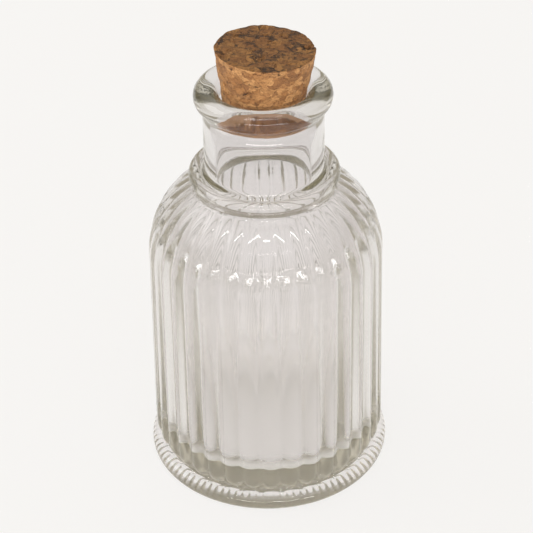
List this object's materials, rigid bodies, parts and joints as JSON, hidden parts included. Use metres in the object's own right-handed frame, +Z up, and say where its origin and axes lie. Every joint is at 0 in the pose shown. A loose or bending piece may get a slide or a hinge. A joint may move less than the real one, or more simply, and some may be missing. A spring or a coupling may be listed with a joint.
{
  "type": "glass bottle",
  "caption": "Small round bottle of clear glass with upright convex flutes, a beaded shoulder, a ribbed foot and a tapered cork stopper.",
  "frame": {"origin": "centre of the bearing ring under the foot", "axes": "+Z up along the bottle's axis, the pictured front faces -Y"},
  "size_m": [0.07, 0.07, 0.1322],
  "materials": {
    "glass": "gloss",
    "cork": "matte"
  },
  "bodies": {
    "bottle": {"bottle": "glass"},
    "stopper": {"cork_stopper": "cork"}
  },
  "joints": [
    {"name": "cork_pull", "type": "slide", "parent": "bottle", "child": "stopper", "axis": [0, 0, 1], "range_m": [0, 0.02]}
  ]
}
